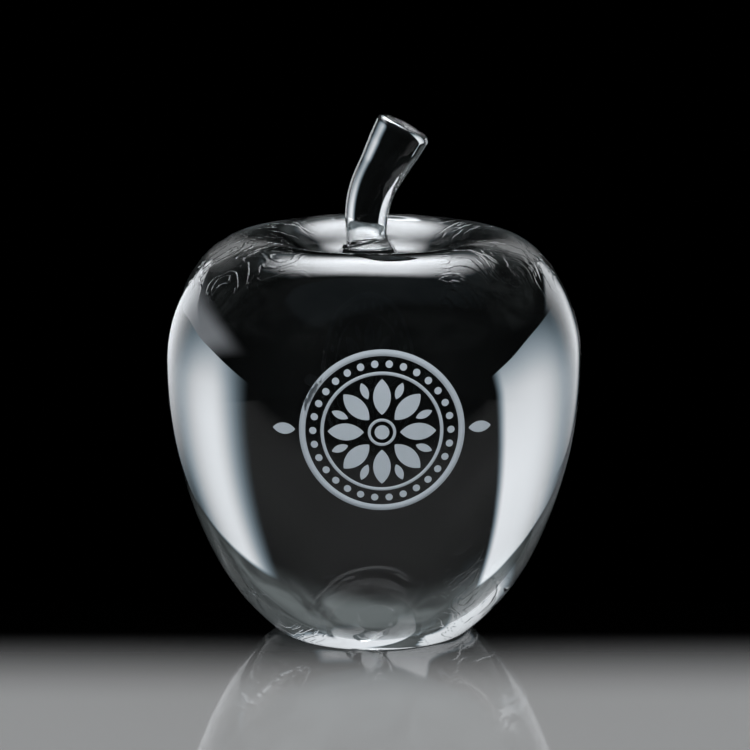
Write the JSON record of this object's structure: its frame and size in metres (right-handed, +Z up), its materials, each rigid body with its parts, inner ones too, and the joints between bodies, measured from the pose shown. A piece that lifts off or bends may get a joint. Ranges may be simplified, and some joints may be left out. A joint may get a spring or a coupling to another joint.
{
  "type": "art glass apple",
  "caption": "Solid clear glass apple paperweight with a bent glass stem fused in its dimple and a frosted round ornament etched on the front.",
  "frame": {"origin": "centre of the flat base on which the apple stands", "axes": "+Z up, the etched front faces -Y, and the stem leans towards +X"},
  "size_m": [0.0888, 0.0888, 0.1123],
  "materials": {
    "clear_glass": "solid clear glass, fire polished, with a flat ground and polished base",
    "foot_glass": "clear glass, fire polished",
    "stem_glass": "clear glass rod, fire polished at its cut end",
    "frosted_etch": "sand etched frosting, matt"
  },
  "bodies": {
    "root": {"apple_body": "clear_glass", "stem_foot": "foot_glass", "stem": "stem_glass", "etched_rings": "frosted_etch", "etched_beads": "frosted_etch", "etched_rosette": "frosted_etch", "etched_lozenges": "frosted_etch"}
  },
  "joints": []
}
